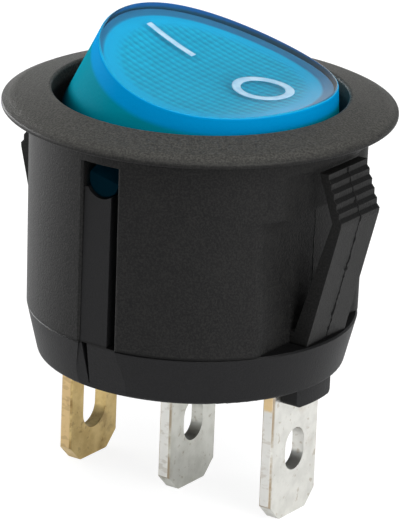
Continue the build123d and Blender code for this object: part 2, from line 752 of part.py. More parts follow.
bead_in_y = bulb_open_y + bead_len
bend = lead_d * 0.75
lamp_lead_stem = wire(
    (
        (lead_x[0], bead_in_y, bulb_z),
        (lead_x[0], bulb_open_y - lead_out, bulb_z),
        (stem_d / 2 - lead_d, bulb_open_y - lead_out, bulb_z),
        (stem_d / 2 - lead_d, -stem_d / 2 + lead_d, bulb_z),
    ),
    bend,
)
lamp_lead_resistor = wire(
    (
        (lead_x[1], bead_in_y, bulb_z),
        (lead_x[1], -resistor_y, bulb_z),
        (lead_x[1], -resistor_y, resistor_z),
        (-resistor_x, -resistor_y, resistor_z),
    ),
    bend,
)
resistor_lead = wire(
    (
        (-resistor_x - resistor_len, -resistor_y, resistor_z),
        (-lamp_seat_x, -resistor_y, resistor_z),
        (-lamp_seat_x, -lamp_seat_d / 2 - lead_d, resistor_z),
    ),
    bend,
)
with BuildPart() as resistor:
    with BuildSketch(Plane.YZ.offset(-resistor_x - wire_gap)):
        with Locations((-resistor_y, resistor_z)):
            Circle(resistor_d / 2)
    extrude(amount=-resistor_len + 2 * wire_gap)
    fillet(edges(), resistor_d * 0.2)
with BuildPart() as lead_sleeve:
    with BuildSketch(Plane.YZ.offset(sleeve_x)):
        with Locations((-resistor_y, resistor_z)):
            Circle(sleeve_d / 2)
            Circle(lead_d / 2 + wire_gap, mode=Mode.SUBTRACT)
    extrude(amount=sleeve_len)

# ==== Everything that the rocker carries is turned to its rest position, with +X pressed
carried = {
    "rocker": rocker,
    "plunger": plunger,
    "plunger_spring": plunger_spring,
    "lamp_bulb": lamp_bulb,
    "lamp_bead": lamp_bead,
    "lamp_electrode_inner": lamp_electrode_inner,
    "lamp_electrode_outer": lamp_electrode_outer,
    "lamp_lead_stem": lamp_lead_stem,
    "lamp_lead_resistor": lamp_lead_resistor,
    "resistor": resistor,
    "resistor_lead": resistor_lead,
    "lead_sleeve": lead_sleeve,
}
for name, piece in carried.items():
    piece.part = piece.part.rotate(hinge, tilt)
    piece.part.label = name

fixed = (
    housing,
    base,
    terminal_line,
    terminal_lamp,
    terminal_common,
    fixed_contact,
    lamp_spring,
    contact_blade,
    moving_contact,
)
for piece in (*fixed, *carried.values()):
    export_step(piece.part, f"parts/{piece.part.label}.step")
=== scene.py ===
# %% [markdown]
# # A round rocker switch with a lamp inside
# The switch snaps into a round hole in a panel. Its black nylon body, metal tabs and clear blue rocker
# come from the CAD model, which is loaded first and never moved. This file gives each piece its finish
# and adds what a CAD model of a switch leaves out: the dotted diffuser inside the clear rocker, the
# printed I and O, and the fine lines that a mould leaves where its halves meet.

# %% Load the CAD model
import json
import math

import bmesh
import bpy
import numpy as np
from mathutils import Matrix, Vector
from mathutils.bvhtree import BVHTree


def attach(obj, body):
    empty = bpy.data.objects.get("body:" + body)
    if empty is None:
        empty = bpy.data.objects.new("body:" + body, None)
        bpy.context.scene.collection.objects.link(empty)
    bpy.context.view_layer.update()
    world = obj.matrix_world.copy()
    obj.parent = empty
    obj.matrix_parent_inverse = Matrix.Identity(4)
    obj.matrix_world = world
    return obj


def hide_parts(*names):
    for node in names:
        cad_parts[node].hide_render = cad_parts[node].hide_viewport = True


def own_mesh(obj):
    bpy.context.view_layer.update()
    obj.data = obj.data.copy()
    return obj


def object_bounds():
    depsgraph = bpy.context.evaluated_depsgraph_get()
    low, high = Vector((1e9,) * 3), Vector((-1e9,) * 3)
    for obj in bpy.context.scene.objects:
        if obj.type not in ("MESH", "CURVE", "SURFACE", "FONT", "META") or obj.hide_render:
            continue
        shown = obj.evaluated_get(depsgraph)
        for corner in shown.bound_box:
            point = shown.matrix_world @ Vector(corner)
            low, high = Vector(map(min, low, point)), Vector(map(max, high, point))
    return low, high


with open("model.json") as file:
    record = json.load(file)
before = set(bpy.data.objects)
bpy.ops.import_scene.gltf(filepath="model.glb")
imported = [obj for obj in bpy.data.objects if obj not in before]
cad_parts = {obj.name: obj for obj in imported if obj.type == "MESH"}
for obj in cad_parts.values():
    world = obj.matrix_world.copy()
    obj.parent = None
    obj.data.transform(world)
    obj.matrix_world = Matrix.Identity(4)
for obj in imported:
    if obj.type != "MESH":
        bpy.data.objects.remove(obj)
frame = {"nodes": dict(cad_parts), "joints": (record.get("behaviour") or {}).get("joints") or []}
cad_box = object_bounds()
nodes = frame["nodes"]
MM = 0.001
print("CAD pieces:", len(nodes))

# %% [markdown]
# ## The rocker's own level
# The rocker is drawn pressed on its +X side, so its face is turned about the pivot. Everything that
# belongs to it is easier to describe with the rocker level, so one function turns level points to where
# they are at rest. Half of the joint's range is the angle, because the rest position is one end of the
# travel.

# %% Level and rest
hinge = next(joint for joint in frame["joints"] if joint["name"] == "rocker_tilt")
TILT = math.radians(hinge["range_deg"][1]) / 2
PIVOT_Z = hinge["pos_m"][2]
DISH_R = 22.8 * MM      # radius of the dished face, a trough along Y
DISH_LOW_Z = 2.59 * MM  # its lowest line, with the rocker level
SLAB = 1.05 * MM        # thickness of the clear top and of the walls


def at_rest(points):
    """Level rocker points turned about the pivot to where they are at rest. With heights taken from the
    pivot, x' = x cos + z sin and z' = z cos - x sin."""
    x, y, z = points[..., 0], points[..., 1], points[..., 2] - PIVOT_Z
    turned_x = x * math.cos(TILT) + z * math.sin(TILT)
    turned_z = z * math.cos(TILT) - x * math.sin(TILT)
    return np.stack([turned_x, y, turned_z + PIVOT_Z], -1)


def dish_z(x, depth=0.0):
    """Height of the surface that lies a depth below the dished face. It is a circle of radius R + depth
    whose centre is R above the dish's lowest line, so z = low + R - sqrt((R + depth)^2 - x^2)."""
    return DISH_LOW_Z + DISH_R - np.sqrt((DISH_R + depth) ** 2 - x ** 2)


print("rocker turned by", round(math.degrees(TILT), 2), "degrees at rest")

# %% [markdown]
# ## Surfaces from arrays
# A new piece is an array of points, rows by columns. The faces join each point with its neighbours, and
# columns that close on themselves wrap round. Building the index arrays with numpy keeps large meshes
# quick.

# %% Mesh helpers
def quads(rows, columns, wrap=False, first=0):
    """Four corner indices for each cell of a rows x columns grid of points, counted from first. With wrap,
    the last column joins the first."""
    r, c = np.meshgrid(np.arange(rows - 1), np.arange(columns if wrap else columns - 1), indexing="ij")
    next_c = (c + 1) % columns
    low, high = r * columns, (r + 1) * columns
    return np.stack([low + c, low + next_c, high + next_c, high + c], -1).reshape(-1, 4) + first


def make_piece(name, points, faces, material, body, smooth=True):
    """A mesh object at the origin from points in metres, riding on a CAD body."""
    mesh = bpy.data.meshes.new(name)
    mesh.from_pydata(points.reshape(-1, 3).tolist(), [], [list(face) for face in faces])
    mesh.polygons.foreach_set("use_smooth", np.full(len(mesh.polygons), smooth))
    mesh.materials.append(material)
    mesh.update()
    piece = bpy.data.objects.new(name, mesh)
    bpy.context.scene.collection.objects.link(piece)
    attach(piece, body)
    print(name, "faces:", len(mesh.polygons))
    return piece


# %% [markdown]
# ## Shader maths in Python
# Procedural materials are sums and products of patterns. A small class wraps a socket so that `1 - mask`
# or `mask * 0.3 + 0.5` adds the Math nodes by itself, and one method adds any other kind of node.

# %% A socket that does sums
class Value:
    """A shader socket that adds a Math node for each Python operator used on it."""

    def __init__(self, draw, socket):
        self.draw = draw
        self.socket = socket

    def __add__(self, other):
        return self.draw.math("ADD", self, other)

    def __sub__(self, other):
        return self.draw.math("SUBTRACT", self, other)

    def __rsub__(self, other):
        return self.draw.math("SUBTRACT", other, self)

    def __mul__(self, other):
        return self.draw.math("MULTIPLY", self, other)

    def __truediv__(self, other):
        return self.draw.math("DIVIDE", self, other)

    def __pow__(self, other):
        return self.draw.math("POWER", self, other)

    __radd__ = __add__
    __rmul__ = __mul__


# %% A material while it is drawn
class Drawing:
    """One material while its nodes are being added."""

    def __init__(self, name):
        self.material = bpy.data.materials.new(name)
        self.material.use_nodes = True
        self.tree = self.material.node_tree
        self.tree.nodes.clear()
        self.output = self.tree.nodes.new("ShaderNodeOutputMaterial")
        self.place = self.node("ShaderNodeTexCoord", out="Object")

    def node(self, kind, settings=None, inputs=None, out=0):
        """Adds a node, sets its settings, then fills its sockets with numbers, colours or links."""
        made = self.tree.nodes.new(kind)
        for key, value in (settings or {}).items():
            setattr(made, key, value)
        for key, value in (inputs or {}).items():
            if isinstance(value, Value):
                self.tree.links.new(value.socket, made.inputs[key])
            elif isinstance(value, tuple) and len(value) == 3 and made.inputs[key].type == "RGBA":
                made.inputs[key].default_value = (*value, 1)
            else:
                made.inputs[key].default_value = value
        return Value(self, made.outputs[out])

    def math(self, operation, *values):
        return self.node("ShaderNodeMath", {"operation": operation}, dict(enumerate(values)))

    def between(self, value, low, high):
        """0 at low, 1 at high and beyond, a smooth step between. Low may be the larger of the two."""
        inputs = {"Value": value, "From Min": low, "From Max": high}
        return self.node("ShaderNodeMapRange", {"interpolation_type": "SMOOTHSTEP"}, inputs)

    def noise(self, scale, detail=2.0, rough=0.5, stretch=None):
        """A pattern from 0 to 1 whose patches are about 1 / scale metres across."""
        at = self.place
        if stretch:
            at = self.node("ShaderNodeMapping", None, {"Vector": at, "Scale": stretch})
        inputs = {"Vector": at, "Scale": scale, "Detail": detail, "Roughness": rough}
        return self.node("ShaderNodeTexNoise", None, inputs)

    def split(self, place=None):
        """The x, y and z of a place, as three values."""
        parts = self.node("ShaderNodeSeparateXYZ", None, {"Vector": place or self.place})
        outputs = parts.socket.node.outputs
        return Value(self, outputs[0]), Value(self, outputs[1]), Value(self, outputs[2])

    def blend(self, share, first, second):
        """A colour between two colours."""
        return self.node("ShaderNodeMix", {"data_type": "RGBA"}, {0: share, 6: first, 7: second}, out=2)

    def mix(self, share, first, second):
        """A shader between two shaders."""
        return self.node("ShaderNodeMixShader", None, {0: share, 1: first, 2: second})

    def ray(self, kind):
        """1 for one kind of ray, such as Is Shadow Ray, and 0 for the others."""
        return self.node("ShaderNodeLightPath", out=kind)

    def bump(self, height, distance):
        return self.node("ShaderNodeBump", None, {"Height": height, "Distance": distance})

    def principled(self, **sockets):
        inputs = {key.replace("_", " "): value for key, value in sockets.items()}
        return self.node("ShaderNodeBsdfPrincipled", None, inputs)

    def finish(self, shader):
        self.tree.links.new(shader.socket, self.output.inputs["Surface"])
        print(self.material.name, "nodes:", len(self.tree.nodes))
        return self.material


# %% Colours and slots
def srgb(red, green, blue):
    """A colour given as 0-255 display values, as the linear numbers that a shader works in."""
    display = np.array([red, green, blue]) / 255
    linear = np.where(display <= 0.04045, display / 12.92, ((display + 0.055) / 1.055) ** 2.4)
    return tuple(float(c) for c in linear)


def dress(material, *names):
    """Puts a material in every slot of the named CAD pieces."""
    for name in names:
        piece = nodes[name]
        if not piece.material_slots:
            piece.data.materials.append(material)
        for slot in piece.material_slots:
            slot.material = material


# %% [markdown]
# ## Moulded nylon
# The body is black nylon from a spark-eroded mould, so its skin is a very fine even grain, matt but not
# dead. Two noises of about a tenth of a millimetre make the grain, and one of a few millimetres the faint
# cloudiness of the black. The bezel is coarser than the barrel and painted greyer, partly for its coarser
# grain and partly as painted light on its top. Two places are painted dark as painted shade, which makes
# them readable from afar: the groove where the barrel stands on the base, and the steps between the latch
# teeth. Both are painted by height, because the CAD model says exactly where they are.

# %% Where shade is painted
# near black: the painted shade at the seam and between the teeth, and the colour of the mould lines
NEAR_BLACK = srgb(4, 4, 4)
SEAM_Z = -11.93 * MM       # where the barrel stands on the base
TEETH_TOP_Z = -1.3 * MM    # the latch teeth are five steps, from here
TEETH_LOW_Z = -4.02 * MM   # to here
TOOTH_H = (TEETH_TOP_Z - TEETH_LOW_Z) / 5
TEETH_X = 9.4 * MM         # they stand out further than this
LATCH_HALF_Y = 1.97 * MM   # half the latch's width
SHADE_FADE = 0.05 * MM      # how softly the painted shade on the teeth ends


def seam_shade(draw, z):
    """Painted shade in the seam's groove: 1 along the seam, and 0 from 0.16 mm above or below it."""
    return 1 - draw.between(draw.math("ABSOLUTE", z - SEAM_Z), 0.06 * MM, 0.16 * MM)


def teeth_shade(draw, x, y, z):
    """Painted shade: 1 in the lower part of each step from the first tooth to the last, only on a
    latch's outer face.
    """
    step = draw.math("FRACT", (TEETH_TOP_Z - z) / TOOTH_H)
    painted_shade = draw.between(step, 0.5, 0.66)
    painted_shade = painted_shade * draw.between(z, TEETH_LOW_Z, TEETH_LOW_Z + SHADE_FADE)
    painted_shade = painted_shade * draw.between(z, TEETH_TOP_Z, TEETH_TOP_Z - SHADE_FADE)
    painted_shade = painted_shade * draw.between(draw.math("ABSOLUTE", x), TEETH_X, TEETH_X + 2 * SHADE_FADE)
    return painted_shade * draw.between(draw.math("ABSOLUTE", y), LATCH_HALF_Y, LATCH_HALF_Y - 0.04 * MM)


# %% Black nylon
GRAIN_LOW_Z = 0.15 * MM   # the bezel's coarser grain starts just above the panel
GRAIN_HIGH_Z = 0.6 * MM   # and is whole from here up


def nylon(name, colour, speck_and_lit_grey, grain, rough, bezel=0.0, latched=0.0):
    """Nylon with a grain so many millimetres deep. The bezel share makes it coarser above the panel and
    greyer there, partly as painted light, and the latched share puts painted shade between the latch teeth.
    The seam always gets painted shade."""
    draw = Drawing(name)
    x, y, z = draw.split()
    above = draw.between(z, GRAIN_LOW_Z, GRAIN_HIGH_Z) * bezel
    fine = draw.noise(9000, 2.0, 0.6)
    coarse = draw.noise(6200, 2.0, 0.55)
    cloud = draw.noise(420, 3.0, 0.55)
    specks = draw.between(fine, 0.38, 0.66)
    # grain specks and cloud, and above the panel the bezel's coarser grain plus painted light that greys
    # its top
    tone_shift = cloud * 0.06 + specks * 0.11 + above * (coarse * 0.6 + specks * 0.3 + 0.05)
    # painted shade: dark along the seam's groove and in the steps between the latch teeth
    painted_shade = draw.math("MAXIMUM", seam_shade(draw, z) * 0.8, teeth_shade(draw, x, y, z) * (0.85 * latched))
    shader = draw.principled(
        Base_Color=draw.blend(painted_shade, draw.blend(tone_shift, colour, speck_and_lit_grey), NEAR_BLACK),
        Roughness=rough + cloud * 0.08 - fine * 0.06,
        Specular_IOR_Level=0.14,
        Normal=draw.bump(fine * 1.6 + coarse * 0.4 + above * coarse, grain * MM),
    )
    return draw.finish(shader)


housing_black = nylon(
    "nylon_housing", srgb(12, 12, 13), srgb(77, 76, 72), grain=0.016, rough=0.5, bezel=1.0, latched=1.0
)
base_black = nylon("nylon_base", srgb(21, 21, 22), srgb(46, 46, 47), grain=0.012, rough=0.48)
dress(housing_black, "housing")
dress(base_black, "base")

# %% [markdown]
# ## Tabs
# The three push-on tabs are stamped brass strip. Two are tin plated: the tin is bright but not even, with
# a soft mottle, tiny pits and fine rolling lines along the strip. On the middle tab the tin is painted
# duller, as painted shade between the other two. The third is bare brass with brown and grey stains from
# handling. The cut edges are brighter and rougher than the faces, their brightness partly painted
# highlight, dirt gathers along the corner between them, and at the root of one tab the tin has worn off the
# edge down to the brass.

# %% Tin and brass
STRIP_HALF_Y = 2.4 * MM   # half the strip's width, where its cut edges are
WORN_LOW_Z = -15.8 * MM   # the worn edge runs from about here up to the base
WORN_FADE = 0.3 * MM
BARE_EDGE = srgb(224, 196, 146)


def plated(name, colour, dull, stain, cut, stain_share, rough, worn_edge=0.0):
    """Stamped strip: a mottle between colour and dull, stains in blots and pits, cut edges brighter, partly
    as painted highlight.
    An edge is where |y| reaches half the strip's width, and the corner beside it is a hair further in."""
    draw = Drawing(name)
    _, y, z = draw.split()
    mottle = draw.noise(900, 4.0, 0.6)
    rolled = draw.noise(700, 3.0, 0.5, stretch=(1.0, 9.0, 0.6))
    ridges = draw.noise(1500, 2.0, 0.5, stretch=(1.0, 1.0, 2.2))
    blots = draw.noise(480, 4.0, 0.65)
    pits = draw.between(draw.noise(2600, 2.0, 0.5), 0.62, 0.72)
    spots = draw.between(blots, 0.62 - 0.12 * stain_share, 0.8)
    out = draw.math("ABSOLUTE", y)
    side = draw.between(out, STRIP_HALF_Y - 0.04 * MM, STRIP_HALF_Y)
    near_side = draw.between(out, STRIP_HALF_Y - 0.2 * MM, STRIP_HALF_Y - 0.06 * MM)
    corner = near_side * (1 - side) * draw.between(blots, 0.4, 0.58)
    root = draw.between(z + mottle * 1.2 * MM, WORN_LOW_Z, WORN_LOW_Z + WORN_FADE)
    tone = draw.blend(draw.between(mottle, 0.35, 0.68), colour, dull)
    tone = draw.blend(spots * stain_share, tone, stain)
    tone = draw.blend(pits * 0.35, tone, stain)
    # the cut edges' own colour, partly painted highlight where it is brighter than the face
    tone = draw.blend(side * 0.8, tone, cut)
    tone = draw.blend(side * draw.between(ridges, 0.5, 0.62) * 0.25, tone, stain)
    tone = draw.blend(corner * 0.8, tone, stain)
    tone = draw.blend(side * root * worn_edge, tone, BARE_EDGE)
    height = mottle * 0.25 + rolled * 0.3 - pits * 0.4 + side * ridges * 0.8
    shader = draw.principled(
        Base_Color=tone,
        Metallic=1.0,
        Roughness=rough + mottle * 0.16 + side * 0.15 + pits * 0.1,
        Normal=draw.bump(height, 0.012 * MM),
    )
    return draw.finish(shader)


# %% The three tabs
bright_tin = plated(
    "tin_plate",
    colour=srgb(225, 224, 218),
    dull=srgb(212, 211, 205),
    stain=srgb(150, 126, 92),
    cut=srgb(220, 219, 215),
    stain_share=0.22,
    rough=0.28,
    worn_edge=0.9,
)
# the middle tab: the same tin painted duller, as painted shade between the other two
shaded_tin = plated(
    "dull_tin_plate",
    colour=srgb(206, 206, 199),
    dull=srgb(191, 191, 183),
    stain=srgb(132, 112, 82),
    cut=srgb(228, 227, 223),
    stain_share=0.3,
    rough=0.3,
)
brass = plated(
    "bare_brass",
    colour=srgb(214, 189, 132),
    dull=srgb(194, 167, 110),
    stain=srgb(116, 90, 54),
    cut=srgb(216, 188, 142),
    stain_share=0.6,
    rough=0.28,
)
dress(bright_tin, "terminal_line")
dress(shaded_tin, "terminal_common")
dress(brass, "terminal_lamp")

# %% [markdown]
# ## Inside metal
# The contacts are silver alloy, the blade a copper alloy, the springs drawn wire, and the lamp's leads
# tinned wire. They hardly show, but a reader who opens the switch should find them finished too.

# %% Contacts, springs and wires
def metal(name, colour, shade, scale, rough, lines=None):
    """Metal with a fine grain between two close colours, drawn out along the part if lines is given."""
    draw = Drawing(name)
    grain = draw.noise(scale, 3.0, 0.55, stretch=lines)
    tone = draw.blend(draw.between(grain, 0.3, 0.75), colour, shade)
    roughness = rough + grain * 0.15
    normal = draw.bump(grain, 0.006 * MM)
    return draw.finish(draw.principled(Base_Color=tone, Metallic=1.0, Roughness=roughness, Normal=normal))


silver = metal("silver_alloy", srgb(228, 227, 222), srgb(190, 188, 182), 2200, 0.22)
copper = metal("copper_alloy", srgb(214, 160, 112), srgb(176, 122, 84), 1200, 0.28, (0.5, 6.0, 1.0))
spring_steel = metal("spring_wire", srgb(190, 190, 192), srgb(150, 150, 152), 1800, 0.22)
nickel = metal("nickel_plate", srgb(206, 202, 190), srgb(170, 166, 152), 1500, 0.24)
grey_metal = metal("grey_electrode", srgb(140, 140, 142), srgb(108, 108, 110), 2600, 0.45)
tinned_wire = metal("tinned_wire", srgb(214, 214, 212), srgb(180, 180, 178), 2400, 0.3)
dress(silver, "fixed_contact", "moving_contact")
dress(copper, "contact_blade")
dress(spring_steel, "lamp_spring", "plunger_spring")
dress(nickel, "plunger")
dress(grey_metal, "lamp_electrode_inner", "lamp_electrode_outer")
dress(tinned_wire, "lamp_lead_stem", "lamp_lead_resistor", "resistor_lead")

# %% [markdown]
# ## Spring copies
# Two coil springs would get shorter as the switch moves. Each is a copy that stands for its CAD piece, in
# the same shape; the copy is not made to shorten. A CAD piece is loose triangles, so the copy's points are
# merged first. The share that a spring would keep of its length comes from how far its free end travels,
# and is printed. The lamp spring's free end follows the lamp's lead, a point of the rocker, and the
# plunger's spring follows the plunger.

# %% Spring copies
def giving_spring(name, body, axis, travel):
    """A copy of a CAD spring in its place, which prints the share 1 - travel / length that it would keep
    along axis.
    """
    mesh = nodes[name].data.copy()
    shape = bmesh.new()
    shape.from_mesh(mesh)
    bmesh.ops.remove_doubles(shape, verts=shape.verts, dist=0.001 * MM)
    shape.to_mesh(mesh)
    shape.free()
    coil = bpy.data.objects.new(name + "_coil", mesh)
    bpy.context.scene.collection.objects.link(coil)
    coil.data.materials[0] = spring_steel
    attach(coil, body)
    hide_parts(name)
    along = np.array([vertex.co for vertex in coil.data.vertices]) @ np.array(axis)
    keep = 1 - travel / (along.max() - along.min())
    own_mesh(coil)
    print(coil.name, "keeps", round(float(keep), 3), "of its length")


LEAD_X = -5.0 * MM            # where the lamp's lead meets the lamp spring
LEAD_Z = -0.576 * MM
UP = (0.0, 0.0, 1.0)
STEM_AXIS = (math.sin(TILT), 0.0, math.cos(TILT))
PLUNGER_TRAVEL = 0.6 * MM

# The rocker turns by twice the tilt, and takes a height z above the pivot to z cos + x sin
lead_height = LEAD_Z - PIVOT_Z
lead_drop = lead_height - lead_height * math.cos(2 * TILT) - LEAD_X * math.sin(2 * TILT)
giving_spring("lamp_spring", "switch_body", UP, lead_drop)
giving_spring("plunger_spring", "rocker_body", STEM_AXIS, PLUNGER_TRAVEL)

# %% [markdown]
# ## Clear blue rocker
# The rocker is one moulding in clear blue polycarbonate: polished outside, frosted inside, and dotted
# under its top so that the lamp lights it evenly. What makes its top look deep is real refraction, so the
# top is a transmitting material and the dots are a surface of their own under the clear slab. The walls
# are frosted inside, so a cloudy material does for them, and their colour is painted light and shade:
# bright for the slab's depth, as painted light from the lit dots, and darker downwards as painted shade.
# Lamps must reach the dots through the top, so a Light Path factor lets their rays straight through,
# tinted blue.

# %% The rocker's level in a material
def level_place(draw):
    """Object coordinates turned to the rocker's own level, as x, y and z."""
    turned = {"Vector": draw.place, "Rotation": (0.0, -TILT, 0.0)}
    x, y, z = draw.split(draw.node("ShaderNodeMapping", {"vector_type": "POINT"}, turned))
    return x + PIVOT_Z * math.sin(TILT), y, z - PIVOT_Z * math.cos(TILT) + PIVOT_Z


def lamps_through(draw, shader, tint):
    """The shader for all rays but those that look for a lamp, which go straight through, tinted."""
    through = draw.node("ShaderNodeBsdfTransparent", None, {"Color": tint})
    return draw.mix(draw.ray("Is Shadow Ray"), shader, through)


# %% Clear polycarbonate
TOP_R = 7.02 * MM      # radius of the rocker's outline
TOP_R_Z = 3.5 * MM     # at this height
WALL_FLARE = 0.25      # how much wider it gets for each step down
# the wall's painted shade darkens from the first height to the second
SHADE_HIGH_Z = 0.3 * MM
SHADE_LOW_Z = -1.3 * MM


def clear_plastic(name, tint, band, wall, deep, lamp_tint):
    """A clear top over a cloudier wall, which is painted bright for the depth of the slab, as painted light
    from the lit dots, then greener and darker downwards, as painted shade. The top is where z is within a
    hair of the dish, low + R - sqrt(R^2 - x^2), and inside the rocker's outline."""
    draw = Drawing(name)
    x, y, z = level_place(draw)
    depth = DISH_LOW_Z + DISH_R - draw.math("SQRT", DISH_R ** 2 - x * x) - z
    inward = TOP_R + WALL_FLARE * (TOP_R_Z - z) - draw.math("SQRT", x * x + y * y)
    on_top = draw.between(depth, 0.12 * MM, 0.04 * MM) * draw.between(inward, 0.02 * MM, 0.1 * MM)
    on_wall = 1 - on_top
    # painted light for the slab's depth, then the wall colour below it, and painted shade lower down
    below = draw.between(depth, 0.8 * SLAB, 1.15 * SLAB)
    shade = draw.between(z, SHADE_HIGH_Z, SHADE_LOW_Z)
    side = draw.blend(shade, draw.blend(below, band, wall), deep)
    tone = draw.blend(on_top, side, tint)
    waves = draw.noise(260, 2.0, 0.5)
    fine = draw.noise(5200, 1.0, 0.5)
    normal = draw.bump(waves * 0.8 + fine * on_wall * 0.5, 0.02 * MM)
    clear = draw.principled(
        Base_Color=tone, Roughness=0.04 + on_wall * 0.3, IOR=1.585, Transmission_Weight=1.0, Normal=normal
    )
    cloudy = draw.principled(Base_Color=tone, Roughness=0.4, Specular_IOR_Level=0.0, Normal=normal)
    return draw.finish(lamps_through(draw, draw.mix(on_wall * 0.99, clear, cloudy), lamp_tint))


blue_clear = clear_plastic(
    "blue_polycarbonate",
    tint=srgb(60, 205, 235),
    # band is painted light through the slab; wall and deep are darker below it, as painted shade
    band=srgb(0, 123, 178),
    wall=srgb(0, 116, 134),
    deep=srgb(0, 24, 34),
    lamp_tint=srgb(120, 225, 240),
)
dress(blue_clear, "rocker")

# %% [markdown]
# ## Dotted diffuser
# Under its top the rocker is moulded with rows of tiny dots. The surface is a height over a disc: the
# depth below the dish plus a cosine grid, faded out near the edge, where the real one is a smooth ring
# that rolls down into the wall. The disc's points come from a square grid squeezed to a circle, so the
# dots keep their rows and the rim stays round.

# %% Dots and their colours
DOT_PITCH = 0.497 * MM
DOT_H = 0.1 * MM
RING_Y = -0.4 * MM                 # the bright ring sits a little off the disc's middle
RING_FROM = (5.2 * MM, 6.0 * MM)   # it begins softly between these radii
RIM_FROM = (6.42 * MM, 6.68 * MM)  # and the dull rim between these


def dot_height(x, y, cosine):
    """Rows along X with weaker columns across them: 0.7 cos(2 pi y / pitch) + 0.3 cos(2 pi x / pitch)."""
    turns = 2 * math.pi / DOT_PITCH
    return cosine(y * turns) * 0.7 + cosine(x * turns) * 0.3


def diffuser_material():
    """The dots are painted lighter at their tips, as painted highlight; a smooth ring is brighter, and the
    rim outside it is dull.
    """
    draw = Drawing("dotted_diffuser")
    cloud = draw.noise(300, 2.0, 0.5)
    x, y, _ = level_place(draw)
    radius = draw.math("SQRT", x * x + (y - RING_Y) ** 2)
    # painted highlight: the dots' tips lighter, their valleys darker
    tips = dot_height(x, y, lambda angle: draw.math("COSINE", angle)) * 0.35 + 0.5
    tone = draw.blend(tips + cloud * 0.3, srgb(12, 138, 156), srgb(31, 193, 203))
    tone = draw.blend(draw.between(radius, *RING_FROM), tone, srgb(0, 187, 207))
    tone = draw.blend(draw.between(radius, *RIM_FROM), tone, srgb(168, 126, 146))
    return draw.finish(draw.principled(Base_Color=tone, Roughness=0.4))


# %% Diffuser surface
GRID = 280              # points along each side of the grid, about ten to a dot
DISC_R = 7.05 * MM
DISC_Y = -0.1 * MM
TOP_LIFT = 0.12 * MM    # the valleys between the dots, over the slab's underside
UNDER_LIFT = 0.03 * MM  # the diffuser's own underside, over the slab's
DOTS_END_R = 5.75 * MM
DOTS_FADE = 0.35 * MM
ROLL_R = 5.9 * MM       # the ring rolls down from here
ROLL_W = 0.6 * MM
ROLL_H = 0.07 * MM


def squeezed_disc(count, radius):
    """A square grid -1..1 mapped to a disc: x = u sqrt(1 - v^2 / 2), y = v sqrt(1 - u^2 / 2)."""
    line = np.linspace(-1, 1, count)
    u, v = np.meshgrid(line, line, indexing="ij")
    return radius * u * np.sqrt(1 - v ** 2 / 2), radius * v * np.sqrt(1 - u ** 2 / 2)


def dotted_top():
    """Level points at z = slab's underside + lift + dots - roll. The dots fade out over a short width,
    and the roll is its full height times the square of the share of its width that is passed."""
    x, y = squeezed_disc(GRID, DISC_R)
    from_axis = np.hypot(x, y)
    y = y + DISC_Y
    fade = np.clip((DOTS_END_R - from_axis) / DOTS_FADE, 0, 1)
    roll = np.clip((from_axis - ROLL_R) / ROLL_W, 0, 1) ** 2 * ROLL_H
    lift = TOP_LIFT + DOT_H * 0.5 * fade * (1 + dot_height(x, y, np.cos)) - roll
    return np.stack([x, y, dish_z(x, SLAB) + lift], -1)


# %% [markdown]
# ### A closed underside
# The dotted surface would be an open sheet, so an underside closes it. Rings of points shrink from its
# rim to the middle, a hair under the dots, a row of faces joins the two rims, and one small face closes
# the middle.

# %% Diffuser piece
UNDER_RINGS = 8


def rim(grid):
    """The border of a grid, once round."""
    return np.concatenate([grid[0, :-1], grid[:-1, -1], grid[-1, :0:-1], grid[:0:-1, 0]])


def closed_below(top):
    """Points and faces of the top with its underside: rings are the rim times a share falling to 0.02."""
    edge = rim(top)
    around = len(edge)
    under = edge[None] * np.linspace(1, 0.02, UNDER_RINGS)[:, None, None]
    under[..., 2] = dish_z(under[..., 0], SLAB) + UNDER_LIFT
    first = top.shape[0] * top.shape[1]
    upper = rim(np.arange(first).reshape(top.shape[:2]))
    lower = np.arange(around) + first
    faces = [
        quads(*top.shape[:2])[:, ::-1],
        quads(UNDER_RINGS, around, wrap=True, first=first),
        np.stack([upper, np.roll(upper, -1), np.roll(lower, -1), lower], -1),
    ]
    middle = lower + (UNDER_RINGS - 1) * around
    points = np.concatenate([top.reshape(-1, 3), under.reshape(-1, 3)])
    return points, [*np.concatenate(faces).tolist(), middle.tolist()]


points, faces = closed_below(dotted_top())
make_piece("dotted_diffuser", at_rest(points), faces, diffuser_material(), "rocker_body")

# %% [markdown]
# ## Printed marks
# The I and the O are pad printed in white on the polished face. Each is a thin plate that follows the
# dish: a bar and a ring, both as grids of points on the dish lifted by a hair, then given their thickness
# by a Solidify modifier.

# %% The I and the O
MARK_LIFT = 0.012 * MM
MARK_T = 0.03 * MM
MARK_Y = 0.25 * MM
LINE_X = np.array([-5.3, -1.85]) * MM   # the ends of the I
LINE_HALF_W = 0.22 * MM
RING_MIDDLE = (3.15 * MM, 0.2 * MM)     # the O, in x and y
RING_R = np.array([1.29, 1.80]) * MM    # its inner and outer radius


def print_material():
    """White ink, a little bluer where it is worn thin."""
    draw = Drawing("white_print")
    tone_shift = draw.noise(1500, 3.0, 0.6)
    tone = draw.blend(draw.between(tone_shift, 0.35, 0.7), srgb(168, 199, 218), srgb(142, 183, 209))
    normal = draw.bump(tone_shift, 0.004 * MM)
    return draw.finish(draw.principled(Base_Color=tone, Roughness=0.42, Normal=normal))


def printed(name, x, y, wrap=False):
    """A plate on the dish over the given level places, z = dish + lift."""
    points = at_rest(np.stack([x, y, dish_z(x) + MARK_LIFT], -1))
    piece = make_piece(name, points, quads(*x.shape, wrap=wrap), white_print, "rocker_body")
    plate = piece.modifiers.new("thickness", "SOLIDIFY")
    plate.thickness = MARK_T
    plate.offset = 0


